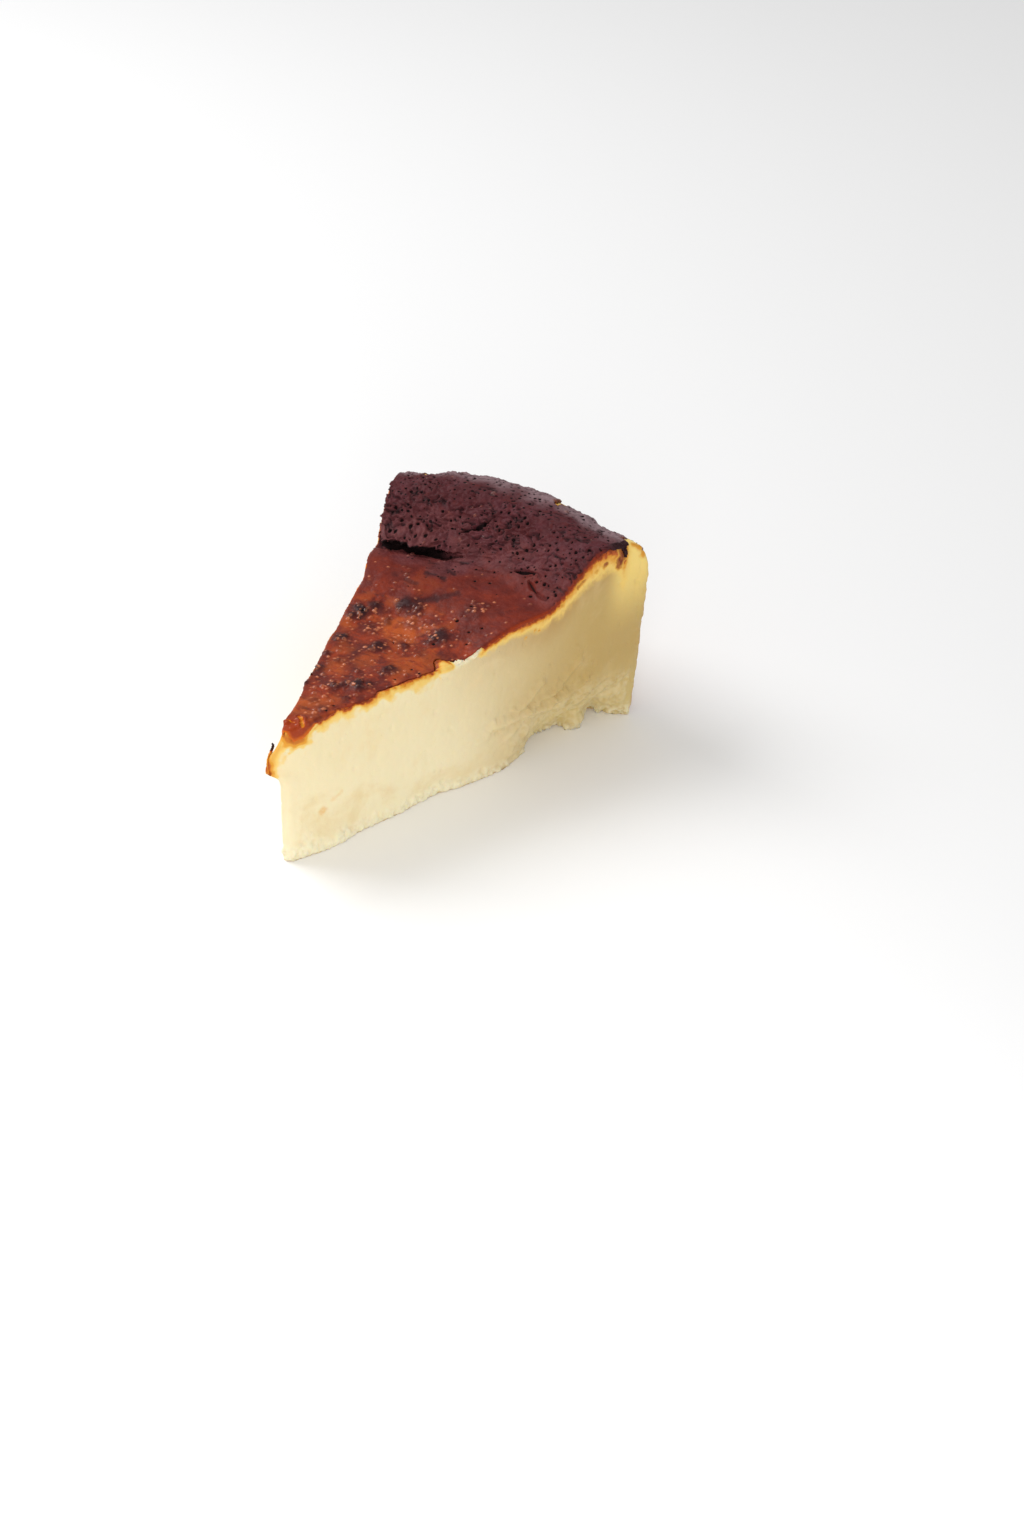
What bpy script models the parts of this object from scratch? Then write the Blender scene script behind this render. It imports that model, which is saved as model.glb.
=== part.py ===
"""One wedge of a basque cheesecake: a single solid of baked custard, sunken at the tip and high at the rim.

The wedge is modelled about the middle of the whole cake, tip towards -Y and rim towards +Y, and is then
moved so that the origin is at the middle of its box, on the surface it rests on.
"""

import math

import bmesh
import bpy
from mathutils import Vector, noise

MM = 0.001

# The whole cake and the two cuts that free the wedge.
WEDGE_ANGLE = math.radians(38.7)
WALL_RADIUS = 118 * MM
WALL_DRAFT = 2.5 * MM
CREST_RADIUS = 108 * MM
RIM_HEIGHT = 60.4 * MM
SHOULDER_DROP = 14 * MM
LEFT_CUT_OFFSET = 2.1 * MM

# Places across the wedge are shares of the way from the right cut, 0, to the left, 1.
RIM_SWAY = 1.6 * MM
RIM_SWAY_AT = 0.52
RIM_SWAY_SPREAD = 0.24
CORNER_LOBE = 2.0 * MM
CORNER_LOBE_SPREAD = 0.09

# The top surface, from the sunken middle of the cake out to the raised ring.
MIDDLE_HEIGHT = 42.3 * MM
SHELF_RISE = 5.5 * MM
SHELF_SPAN = (52 * MM, 76 * MM)
RING_SPAN = (82 * MM, 103 * MM)
LEFT_CORNER_DROP = 2.8 * MM
LEFT_CORNER_SPAN = (0.72, 1.0)
TOP_WAVES = 0.5 * MM
TOP_WAVE_SIZE = 11 * MM
CALM_TIP = 12 * MM

# The crease where the ring's thick crust laps over the softer middle, deep at the left cut only.
FOLD_RADIUS = 85 * MM
FOLD_SWAY = 3.2 * MM
FOLD_SWAY_AT = 0.3
FOLD_SWAY_SPREAD = 0.2
FOLD_DEPTH = 1.7 * MM
FOLD_HALF_WIDTH = 1.5 * MM
FOLD_SPAN = (0.3, 0.75)
LIP_HEIGHT = 1.0 * MM

# Blistered patches on the middle: distance from the tip, share across, radius and height.
BLISTERS = (
    (27 * MM, 0.34, 3.2 * MM, 0.9 * MM),
    (24 * MM, 0.62, 2.5 * MM, 0.7 * MM),
    (38 * MM, 0.32, 2.5 * MM, 0.7 * MM),
    (46 * MM, 0.56, 2.5 * MM, 0.6 * MM),
    (43 * MM, 0.93, 2.5 * MM, 0.8 * MM),
    (58 * MM, 0.31, 2.8 * MM, 0.7 * MM),
    (57 * MM, 0.92, 3.5 * MM, 0.8 * MM),
    (65 * MM, 0.66, 3.2 * MM, 0.7 * MM),
    (70 * MM, 0.30, 3.8 * MM, 0.6 * MM),
)

# The lobe of soft custard that the knife dragged forward at the tip.
LOBE_HEIGHT = 30 * MM
LOBE_UNDERCUT = 4.5 * MM
LOBE_REACH = 3.4 * MM
LOBE_LENGTH = 7 * MM
LOBE_HEADING = math.radians(226)
BROW_RETREAT = 1.0 * MM

# Both cuts: a foot smeared outwards at one place and pinched at another, and slow waves over the face.
FOOT_HEIGHT = 9 * MM
FOOT_FLARE = 1.4 * MM
FOOT_PINCH = 1.6 * MM
RIGHT_FLARE_AT = 11 * MM
RIGHT_FLARE_SPREAD = 9 * MM
RIGHT_PINCH_AT = 46 * MM
RIGHT_PINCH_SPREAD = 8 * MM
LEFT_FLARE_AT = 38 * MM
LEFT_FLARE_SPREAD = 20 * MM
LEFT_PINCH_AT = 86 * MM
LEFT_PINCH_SPREAD = 14 * MM
CUT_WAVES = 0.45 * MM
CUT_WAVE_LENGTH = 17 * MM
CUT_WAVE_HEIGHT = 12 * MM
RIGHT_WAVE_LAYER = 3.7
LEFT_WAVE_LAYER = 9.1

# The right cut's torn hollow under a ridge, with one crumb that still clings in it.
RIDGE_HEIGHT = 17.5 * MM
TEAR_DEPTH = 10 * MM
TEAR_SPAN = (71 * MM, 88 * MM)
TEAR_END = (106 * MM, 116 * MM)
CRUMB_AT = 98.5 * MM
CRUMB_LENGTH = 2.6 * MM
CRUMB_REACH = 6.5 * MM
CRUMB_SPAN = (9 * MM, 2 * MM)

# The left cut swells a little where it meets the rim.
SWELL = 1.1 * MM
SWELL_ALONG = 104 * MM
SWELL_HEIGHT = 56 * MM
SWELL_SPREAD = 7 * MM

# Pleats that the lining paper pressed into the outer wall; they die out towards the rim.
PLEATS = 5
PLEAT_DEPTH = 1.3 * MM
PLEAT_DRIFT = 0.3
PLEAT_FADE = (1.0, 0.75)

# The net of faces: (place where a stretch ends, faces in it).
ROWS = ((6 * MM, 4), (70 * MM, 21), (FOLD_RADIUS, 10), (102 * MM, 10), (CREST_RADIUS, 3))
LEVELS = ((0.05, 1), (0.30, 5), (0.62, 4), (0.80, 5), (0.93, 4), (1.0, 3))
COLUMNS = 24
COLUMN_CROWDING = 0.5

CUSTARD_COLOUR = (0.80, 0.66, 0.41, 1.0)
CUSTARD_ROUGHNESS = 0.55
CUT_EDGE_ANGLE = math.radians(50)


def smooth(start, end, value):
    """Rises from 0 at start to 1 at end with no kink."""
    share = min(1.0, max(0.0, (value - start) / (end - start)))
    return share * share * (3 - 2 * share)


def hump(centre, spread, value):
    """A bell curve, 1 at centre."""
    return math.exp(-(((value - centre) / spread) ** 2))


def stations(stretches):
    """The places along a line that is divided into stretches, each with its own count of equal steps."""
    places = [0.0]
    for end, count in stretches:
        start = places[-1]
        places += [start + (end - start) * (step + 1) / count for step in range(count)]
    return places


def columns():
    """Shares of the way from the right cut to the left, closer together near the cuts."""
    shares = [step / COLUMNS for step in range(COLUMNS + 1)]
    return [share - COLUMN_CROWDING * math.sin(math.tau * share) / math.tau for share in shares]


def heading(share):
    """The angle from +Y, towards +X, of the line at that share of the way from the right cut to the left."""
    return WEDGE_ANGLE * (0.5 - share)


def fold_line(share):
    """How far from the middle of the cake the crease runs."""
    return FOLD_RADIUS + FOLD_SWAY * hump(FOLD_SWAY_AT, FOLD_SWAY_SPREAD, share)


def top_height(radius, share):
    """Height of the top surface."""
    ring = smooth(*RING_SPAN, radius)
    height = MIDDLE_HEIGHT + SHELF_RISE * smooth(*SHELF_SPAN, radius)
    height += (RIM_HEIGHT - MIDDLE_HEIGHT - SHELF_RISE) * ring
    height -= LEFT_CORNER_DROP * smooth(*LEFT_CORNER_SPAN, share) * ring
    off_fold = radius - fold_line(share)
    fold = smooth(*FOLD_SPAN, share)
    height -= FOLD_DEPTH * fold * hump(0, FOLD_HALF_WIDTH, off_fold)
    height += LIP_HEIGHT * fold * hump(2 * FOLD_HALF_WIDTH, FOLD_HALF_WIDTH, off_fold)
    for blister_radius, blister_share, spread, rise in BLISTERS:
        apart = math.hypot(radius - blister_radius, radius * WEDGE_ANGLE * (share - blister_share))
        height += rise * hump(0, spread, apart)
    angle = heading(share)
    place = Vector((radius * math.sin(angle), radius * math.cos(angle), 0)) / TOP_WAVE_SIZE
    return height + TOP_WAVES * noise.noise(place) * smooth(0, CALM_TIP, radius)


def wall_reach(level, share):
    """How much further out than the crest the outer wall stands, at that share of the height."""
    reach = WALL_RADIUS - CREST_RADIUS + CORNER_LOBE * hump(0, CORNER_LOBE_SPREAD, share)
    shoulder = 1 - SHOULDER_DROP / RIM_HEIGHT
    if level > shoulder:
        reach *= math.sqrt(1 - ((level - shoulder) / (1 - shoulder)) ** 2)
    else:
        reach -= WALL_DRAFT * (1 - level / shoulder) ** 1.5
    folds = PLEATS * share + PLEAT_DRIFT * math.sin(PLEATS * share)
    reach += PLEAT_DEPTH * (abs(math.sin(math.pi * folds)) - 0.6) * smooth(*PLEAT_FADE, level)
    return reach + RIM_SWAY * (hump(RIM_SWAY_AT, RIM_SWAY_SPREAD, share) - 0.6)


def foot_inset(along, height, flare_at, flare_spread, pinch_at, pinch_spread):
    """How far a cut's foot stands back from its plane; below 0 it stands proud."""
    flare = FOOT_FLARE * hump(flare_at, flare_spread, along)
    pinch = FOOT_PINCH * hump(pinch_at, pinch_spread, along)
    return (pinch - flare) * smooth(FOOT_HEIGHT, 0, height)


def cut_waves(along, height, layer):
    """The slow unevenness of a knife cut."""
    place = Vector((along / CUT_WAVE_LENGTH, height / CUT_WAVE_HEIGHT, layer))
    return CUT_WAVES * noise.noise(place) * smooth(0, CALM_TIP, along)


def right_cut_inset(along, height):
    """How far the right cut stands back from its plane."""
    inset = foot_inset(
        along, height, RIGHT_FLARE_AT, RIGHT_FLARE_SPREAD, RIGHT_PINCH_AT, RIGHT_PINCH_SPREAD
    )
    torn = smooth(*TEAR_SPAN, along) * (1 - smooth(*TEAR_END, along))
    inset += TEAR_DEPTH * torn * max(0.0, 1 - height / RIDGE_HEIGHT) ** 1.2
    inset -= CRUMB_REACH * hump(CRUMB_AT, CRUMB_LENGTH, along) * smooth(*CRUMB_SPAN, height)
    return inset + cut_waves(along, height, RIGHT_WAVE_LAYER)


def left_cut_inset(along, height):
    """How far the left cut stands back from its plane."""
    inset = foot_inset(
        along, height, LEFT_FLARE_AT, LEFT_FLARE_SPREAD, LEFT_PINCH_AT, LEFT_PINCH_SPREAD
    )
    swell = hump(SWELL_ALONG, SWELL_SPREAD, along) * hump(SWELL_HEIGHT, SWELL_SPREAD, height)
    return inset - SWELL * swell + cut_waves(along, height, LEFT_WAVE_LAYER)


def tip_drag(height):
    """How far the tip leans forward at that height."""
    if height > LOBE_HEIGHT:
        back = smooth(LOBE_HEIGHT, MIDDLE_HEIGHT, height)
        return LOBE_REACH - (LOBE_REACH + BROW_RETREAT) * back
    return LOBE_REACH * smooth(LOBE_HEIGHT - LOBE_UNDERCUT, LOBE_HEIGHT, height)


def place_point(along, share, level):
    """A point of the wedge: along the radius of the top, across from cut to cut, and up from the base."""
    along += (fold_line(share) - FOLD_RADIUS) * hump(FOLD_RADIUS, 8 * FOLD_HALF_WIDTH, along)
    radius = along * (1 + wall_reach(level, share) / CREST_RADIUS)
    height = level * top_height(along, share)
    angle = heading(share)
    point = Vector((radius * math.sin(angle), radius * math.cos(angle), height))
    half = WEDGE_ANGLE / 2
    right_normal = Vector((math.cos(half), -math.sin(half), 0))
    left_normal = Vector((-math.cos(half), -math.sin(half), 0))
    point += left_normal * LEFT_CUT_OFFSET * share
    point -= right_normal * right_cut_inset(radius, height) * (1 - share) ** 2
    point -= left_normal * left_cut_inset(radius, height) * share**2
    drag = Vector((math.cos(LOBE_HEADING), math.sin(LOBE_HEADING), 0))
    return point + drag * tip_drag(height) * (1 - smooth(0, LOBE_LENGTH, along))


def block_of_faces(row_count, column_count, level_count):
    """A closed block, one unit a face: a grid for the base, extruded up one level at a time."""
    mesh = bmesh.new()
    bmesh.ops.create_grid(mesh, x_segments=column_count, y_segments=row_count, size=0.5)
    bmesh.ops.translate(mesh, verts=mesh.verts, vec=(0.5, 0.5, 0))
    bmesh.ops.scale(mesh, verts=mesh.verts, vec=(column_count, row_count, 1))
    top = list(mesh.faces) + list(mesh.edges)
    for _ in range(level_count):
        raised = bmesh.ops.extrude_face_region(mesh, geom=top)["geom"]
        top = [part for part in raised if not isinstance(part, bmesh.types.BMVert)]
        lifted = [part for part in raised if isinstance(part, bmesh.types.BMVert)]
        bmesh.ops.translate(mesh, verts=lifted, vec=(0, 0, 1))
    return mesh


def shape_slice(mesh, rows, shares, levels):
    """Moves each corner of the block to its place on the wedge."""
    for vert in mesh.verts:
        column, row, level = (round(value) for value in vert.co)
        vert.co = place_point(rows[row], shares[column], levels[level])
    mesh.normal_update()
    bmesh.ops.recalc_face_normals(mesh, faces=mesh.faces)


def stand_on_origin(mesh):
    """Moves the wedge so that the middle of its box, at the base, is at the origin."""
    low = Vector(min(vert.co[axis] for vert in mesh.verts) for axis in range(3))
    high = Vector(max(vert.co[axis] for vert in mesh.verts) for axis in range(3))
    middle = (low + high) / 2
    bmesh.ops.translate(mesh, verts=mesh.verts, vec=(-middle.x, -middle.y, -low.z))


def custard_material():
    material = bpy.data.materials.new("baked_custard")
    material.use_nodes = True
    shader = material.node_tree.nodes["Principled BSDF"]
    shader.inputs["Base Color"].default_value = CUSTARD_COLOUR
    shader.inputs["Roughness"].default_value = CUSTARD_ROUGHNESS
    shader.inputs["Metallic"].default_value = 0.0
    return material


def cheesecake_slice():
    rows = stations(ROWS)
    levels = stations(LEVELS)
    mesh = block_of_faces(len(rows) - 1, COLUMNS, len(levels) - 1)
    shape_slice(mesh, rows, columns(), levels)
    stand_on_origin(mesh)
    data = bpy.data.meshes.new("cheesecake_slice")
    mesh.to_mesh(data)
    mesh.free()
    data.materials.append(custard_material())
    data.shade_smooth()
    data.set_sharp_from_angle(angle=CUT_EDGE_ANGLE)
    piece = bpy.data.objects.new("cheesecake_slice", data)
    bpy.context.scene.collection.objects.link(piece)


def main():
    for item in list(bpy.data.objects):
        bpy.data.objects.remove(item, do_unlink=True)
    cheesecake_slice()


main()
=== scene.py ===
# A slice of burnt-top basque cheesecake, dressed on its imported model.
# Lengths in the dictionaries and in the shaping code are millimetres; Blender's own values are metres.
import math
from types import SimpleNamespace

import bpy
import numpy as np
from mathutils import Matrix, Vector, kdtree, noise
from mathutils.bvhtree import BVHTree


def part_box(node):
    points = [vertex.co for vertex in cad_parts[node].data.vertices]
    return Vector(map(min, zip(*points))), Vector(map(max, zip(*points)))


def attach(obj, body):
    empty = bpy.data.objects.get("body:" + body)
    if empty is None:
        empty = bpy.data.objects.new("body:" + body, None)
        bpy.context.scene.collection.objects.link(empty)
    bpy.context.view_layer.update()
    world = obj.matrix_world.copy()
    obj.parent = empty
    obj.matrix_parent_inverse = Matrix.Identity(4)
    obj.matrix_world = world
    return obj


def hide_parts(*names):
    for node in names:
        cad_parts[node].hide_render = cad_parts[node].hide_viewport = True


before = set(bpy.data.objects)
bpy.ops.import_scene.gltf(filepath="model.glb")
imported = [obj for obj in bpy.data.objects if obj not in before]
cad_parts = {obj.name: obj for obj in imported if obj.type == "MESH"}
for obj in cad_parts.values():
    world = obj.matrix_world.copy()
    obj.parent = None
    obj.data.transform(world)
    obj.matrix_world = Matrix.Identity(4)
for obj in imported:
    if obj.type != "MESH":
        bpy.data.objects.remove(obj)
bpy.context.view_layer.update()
mm = 0.001
boxLow, boxHigh = (np.array(corner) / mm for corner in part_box("cheesecake_slice"))

cake = {
    "middle": (0.7, -57.76),  # where the two cuts would meet, the middle of the whole cake
    "wedge": 38.7,  # degrees between the cuts
    "leftOffset": 2.1,  # how far the left cut passes beside the middle
    "rim": boxHigh[2],
    "crest": 108.0,  # radius of the rim's highest line
    "wall": 118.0,
    "fold": 85.0,  # radius where the ring's crust laps over the soft middle
    "foldSway": (3.2, 0.3, 0.2),  # reach, share across and spread of the fold's sway
}


# small helpers


def smooth(start, end, value):
    t = np.clip((value - start) / (end - start), 0, 1)
    return t * t * (3 - 2 * t)


def hump(centre, spread, value):
    return np.exp(-(((value - centre) / spread) ** 2))


def grain(points, size, layer=0.0, octaves=3, stretch=(1, 1, 1)):
    # fractal noise from about -0.6 to 0.6, with lumps of that size
    spots = points / (np.array(stretch) * size) + layer * 7.31
    return np.array([noise.fractal(spot, 1.0, 2.0, octaves) for spot in spots.tolist()])


def ridges(points, size, layer=0.0, stretch=(1, 1, 1)):
    # thin crests, 1 at their tops
    return 1 - 2.2 * np.abs(grain(points, size, layer, 2, stretch))


def readVectors(items, name):
    flat = np.empty(len(items) * 3)
    items.foreach_get(name, flat)
    return flat.reshape(-1, 3)


def readPoints(piece):
    return readVectors(piece.data.vertices, "co") / mm


def readNormals(piece):
    return readVectors(piece.data.vertex_normals, "vector")


def writePoints(piece, points):
    piece.data.vertices.foreach_set("co", (points * mm).ravel())
    piece.data.update()


def writeMasks(piece, **masks):
    # shares from 0 to 1, stored on the points for the materials
    for name, values in masks.items():
        mask = piece.data.attributes.new(name, "FLOAT", "POINT")
        mask.data.foreach_set("value", np.clip(values, 0, 1).astype(np.float32))


def pointTree(points):
    tree = kdtree.KDTree(len(points))
    for index, point in enumerate(points.tolist()):
        tree.insert(point, index)
    tree.balance()
    return tree


def within(tree, centre, reach):
    # the numbers of the points within reach of a place, and how far away each is
    found = tree.find_range(centre, reach)
    return np.array([item[1] for item in found], int), np.array([item[2] for item in found])


def setMode(mode):
    bpy.ops.object.mode_set(mode=mode)


def newObject(name, data):
    made = bpy.data.objects.new(name, data)
    bpy.context.scene.collection.objects.link(made)
    return made


def makeActive(piece):
    bpy.ops.object.select_all(action="DESELECT")
    piece.select_set(True)
    bpy.context.view_layer.objects.active = piece


def finishModifier(piece, kind, **settings):
    makeActive(piece)
    bpy.ops.object.modifier_add(type=kind)
    modifier = piece.modifiers[-1]
    for name, value in settings.items():
        setattr(modifier, name, value)
    bpy.ops.object.modifier_apply(modifier=modifier.name)


def duplicate(piece, name):
    makeActive(piece)
    bpy.ops.object.duplicate()
    copy = bpy.context.active_object
    copy.name = copy.data.name = name
    return copy


def editAll():
    setMode("EDIT")
    bpy.ops.mesh.select_all(action="SELECT")


def turnOutwards():
    # turns all faces outwards and ends the editing
    bpy.ops.mesh.select_all(action="SELECT")
    bpy.ops.mesh.normals_make_consistent(inside=False)
    setMode("OBJECT")


def ready(piece):
    print(piece.name, "ready:", len(piece.data.polygons), "faces")
    return piece


def selectPoints(piece, chosen):
    setMode("EDIT")
    bpy.ops.mesh.select_mode(type="VERT")
    bpy.ops.mesh.select_all(action="DESELECT")
    setMode("OBJECT")
    piece.data.vertices.foreach_set("select", chosen)
    setMode("EDIT")


def place(points):
    # where points are on the cake: radius, share of the way from the right cut to the left, and depths inside
    at = points[:, :2] - cake["middle"]
    half = math.radians(cake["wedge"] / 2)
    right = at @ (math.cos(half), -math.sin(half))
    left = at @ (-math.cos(half), -math.sin(half))
    share = 0.5 - np.arctan2(at[:, 0], at[:, 1]) / (2 * half)
    return SimpleNamespace(
        radius=np.hypot(at[:, 0], at[:, 1]),
        share=share,
        onRight=share < 0.5,
        insideRight=-right,
        insideLeft=cake["leftOffset"] - left,
        inside=np.minimum(-right, cake["leftOffset"] - left),
        along=at @ (math.sin(half), math.cos(half)),  # outwards along the right cut
    )


def foldRadius(share):
    reach, centre, spread = cake["foldSway"]
    return cake["fold"] + reach * hump(centre, spread, share)


def lipStrength(share):
    # how much the ring stands open over the middle; a lump closes it at the left cut
    return smooth(0.56, 0.84, share) * smooth(1.03, 0.985, share)


def keepInside(points):
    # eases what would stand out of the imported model's box back into it
    room = 0.35  # the easing starts this far inside the box
    over = np.maximum(points - (boxHigh - room), 0)
    under = np.maximum(boxLow + room - points, 0)
    under[:, 2] = 0
    points = np.where(over > 0, boxHigh - room * np.exp(-over / room), points)
    return np.where(under > 0, boxLow + room * np.exp(-under / room), points)


# the smooth core that every piece starts from, and its pulls in or out: centre, move, spread each way
pulls = [
    ((-1.9, -60.3, 29.4), (-1.7, -0.3, -1.1), (2.2, 2.2, 2.2)),  # the corner of the lobe at the tip
    ((-2.6, -58.6, 33.0), (-0.5, 0.0, 0.0), (1.8, 1.8, 1.8)),
    ((-5.5, -45.5, 42.0), (0.75, 0.25, 0.0), (4, 9, 14)),  # along the left cut, from the tip outwards
    ((-15.5, -19.0, 42.5), (-0.4, -0.1, 0.0), (3, 8, 6)),
    ((-24.0, 6.5, 47.0), (1.3, 0.4, 0.0), (4, 6, 8)),
    ((-32.5, 29.0, 53.0), (-0.4, -0.1, 0.0), (3, 6, 6)),
    ((-28.0, 47.0, 59.0), (0.0, 0.0, -0.8), (9, 6, 5)),  # round the rim, from the left cut to the right
    ((0.0, 54.0, 59.0), (0.0, 0.0, 0.45), (11, 6, 4)),
    ((25.5, 49.5, 59.8), (0.0, 0.0, -1.4), (8, 6, 5)),
    ((22.5, 50.0, 59.8), (0.0, 0.0, -0.4), (4, 5, 5)),
    ((-36.5, 42.0, 57.5), (0.7, -0.3, -0.4), (5, 5, 5)),
]


def smoothCore():
    mergeReach, quadAngle, quadShape = 0.002 * mm, 1.2, 1.4
    core = newObject("core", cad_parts["cheesecake_slice"].data.copy())
    core.data.materials.clear()
    makeActive(core)
    bpy.ops.mesh.customdata_custom_splitnormals_clear()
    editAll()
    bpy.ops.mesh.remove_doubles(threshold=mergeReach)
    bpy.ops.mesh.tris_convert_to_quads(face_threshold=quadAngle, shape_threshold=quadShape)
    bpy.ops.mesh.select_mode(type="FACE")
    setMode("OBJECT")
    normals = readVectors(core.data.polygons, "normal")
    core.data.polygons.foreach_set("select", normals[:, 2] < -0.999)
    setMode("EDIT")
    bpy.ops.mesh.delete(type="FACE")
    setMode("OBJECT")
    finishModifier(core, "SUBSURF", levels=2, render_levels=2)
    setMode("EDIT")
    bpy.ops.mesh.select_mode(type="EDGE")
    bpy.ops.mesh.select_non_manifold(extend=False)
    bpy.ops.mesh.edge_face_add()
    turnOutwards()
    points = readPoints(core)
    for centre, move, spread in pulls:
        away = np.linalg.norm((points - centre) / spread, axis=1)
        points = points + hump(0, 1, away)[:, None] * move
    writePoints(core, points)
    return core


def heightMap(core):
    # heights of the top on a fine grid, spread outwards past the edges so that it can be read anywhere
    tree = BVHTree.FromObject(core, bpy.context.evaluated_depsgraph_get())
    step, pad, clearance, rounds, lowest = 0.5, 12.0, 1.2, 60, 45.0
    xs = np.arange(boxLow[0] - pad, boxHigh[0] + pad, step)
    ys = np.arange(boxLow[1] - pad, boxHigh[1] + pad, step)
    heights = np.full((len(xs), len(ys)), np.nan)
    for i, x in enumerate(xs):
        for j, y in enumerate(ys):
            hit = tree.ray_cast(Vector((x * mm, y * mm, 0.1)), Vector((0, 0, -1)))[0]
            if hit:
                heights[i, j] = hit.z / mm
    grid = np.stack(np.meshgrid(xs, ys, indexing="ij"), -1).reshape(-1, 2)
    clear = place(grid).inside > clearance
    heights[~clear.reshape(heights.shape)] = np.nan
    for _ in range(rounds):
        ring = np.pad(heights, 1, constant_values=np.nan)
        near = np.stack([ring[:-2, 1:-1], ring[2:, 1:-1], ring[1:-1, :-2], ring[1:-1, 2:]])
        known = ~np.isnan(near)
        spread = np.where(known, near, 0).sum(0) / np.maximum(known.sum(0), 1)
        fill = np.isnan(heights) & known.any(0)
        heights[fill] = spread[fill]
    heights = np.where(np.isnan(heights), lowest, heights)

    def topHeight(points):
        u = np.clip((points[:, 0] - xs[0]) / step, 0, len(xs) - 1.01)
        v = np.clip((points[:, 1] - ys[0]) / step, 0, len(ys) - 1.01)
        i, j = u.astype(int), v.astype(int)
        a, b = u - i, v - j
        return (
            heights[i, j] * (1 - a) * (1 - b)
            + heights[i + 1, j] * a * (1 - b)
            + heights[i, j + 1] * (1 - a) * b
            + heights[i + 1, j + 1] * a * b
        )

    return topHeight


def remeshed(core, name, size):
    piece = duplicate(core, name)
    finishModifier(piece, "REMESH", mode="VOXEL", voxel_size=size * mm)
    finishModifier(piece, "SMOOTH", factor=0.5, iterations=3)
    return piece


# the burnt crust: where it reaches, and its relief
crust = {
    "grain": 0.28,  # size of its faces
    "thickness": 0.8,
    "overlap": (1.4, 3.2),  # how far outside the fold the ring starts and the middle ends
    "skirt": 0.4,  # how far it shows down the cuts
    "rimSkirt": 0.8,  # and this much further down the rim's part of the right cut
    "tipDroop": 4.4,  # it hangs down over the tip by this much
    "cornerCurl": (109.2, 1.1, 3.5),  # along the right cut: place, spread and length of the curled strip
    "wallReach": 11.0,  # how far down the shoulder it goes
    "lowest": 34,  # height that no part of it reaches down to
    "peeks": ((0.9, 0.05, 9.2), (0.37, 0.035, 11.2)),  # share across, spread and depth of its bare spots
    "lipReach": 3.4,  # how far the ring's lip overhangs
    "pores": 370,
    "bubbles": 320,
    "seed": 11,
}

# where it stands back from the right cut or has broken off: place along the cut, spread, depth
notches = [(28.7, 1.6, 0.9), (32.0, 2.0, 0.7), (37.5, 2.6, 0.9), (43.6, 1.1, 0.9)]
notches += [(49.4, 2.4, 4.7), (53.3, 1.4, 0.9), (58.0, 4.2, 0.1)]

# how much further down the right cut it shows: place along the cut, and length there
edgeDrop = [(0, 0.0), (8, 0.6), (11, 1.1), (14, 0.6), (16.5, -0.2), (19, 0.6), (21, -0.1), (23, 0.4)]
edgeDrop += [(26, -0.1), (31, -0.5), (45, -0.5), (52, 0.0), (57, 0.7), (70, 0.8), (76, 0.2)]

# burnt blisters on the middle: place on the top, radius, height, darkness
blisters = [
    (-15.8, -4.2, 2.4, 0.6, 1.0), (-13.9, -0.6, 2.0, 0.6, 0.9), (-16.9, -6.4, 1.6, 0.5, 0.9),
    (-6.2, 4.0, 2.7, 0.7, 0.95), (-3.0, 4.8, 1.9, 0.4, 0.7), (10.9, 9.8, 3.0, 0.4, 0.5),
    (13.2, 12.6, 1.8, 0.3, 0.4), (-13.4, -16.1, 1.9, 0.7, 1.0), (-9.4, -8.5, 2.2, 0.3, 0.55),
    (-7.7, -2.7, 1.3, 0.3, 0.6), (-1.8, 0.0, 1.6, 0.3, 0.4), (-2.4, -13.7, 2.0, 0.6, 0.9),
    (-3.9, -15.8, 1.6, 0.5, 0.7), (2.5, -9.5, 1.9, 0.5, 0.75), (8.6, -1.9, 2.5, 0.7, 0.95),
    (7.2, -4.6, 1.4, 0.4, 0.7), (-9.5, -30.3, 1.6, 0.7, 0.8), (-7.7, -25.0, 1.2, 0.4, 0.6),
    (5.5, -21.4, 2.3, 0.6, 0.9), (-1.5, -35.0, 1.7, 0.5, 0.9), (0.2, -33.2, 1.5, 0.5, 0.8),
    (3.8, -31.6, 2.1, 0.9, 1.0), (5.6, -29.8, 1.4, 0.5, 0.9), (2.5, -45.2, 1.6, 0.4, 0.6),
    (4.1, -37.8, 1.2, 0.3, 0.4), (-8.4, -38.1, 1.0, 0.6, 0.9), (-11.9, -24.2, 1.1, 0.6, 0.8),
    (-1.5, -54.8, 0.9, 0.8, 0.9),
]

# amber patches between them: place, radius, strength
ambers = [
    (-2.4, -4.6, 5.0, 1.0), (-6.1, 12.2, 3.4, 0.6), (11.7, -13.1, 3.8, 0.85), (9.0, -18.4, 3.2, 0.7),
    (-6.8, -28.3, 3.6, 0.85), (-15.7, -9.9, 2.4, 0.8), (-0.9, -46.4, 4.6, 1.0), (2.0, -40.0, 2.4, 0.7),
    (2.3, -14.9, 2.4, 0.6), (-17.9, 0.7, 1.8, 0.6), (8.4, 3.1, 2.0, 0.5), (-2.0, -20.8, 3.0, 0.6),
    (-9.4, -19.6, 2.2, 0.55), (0.2, 5.5, 2.6, 0.35), (-11.0, 3.0, 1.8, 0.6), (9.6, -12.5, 2.6, 0.8),
    (-3.1, -21.6, 2.4, 0.6),
]

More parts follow.
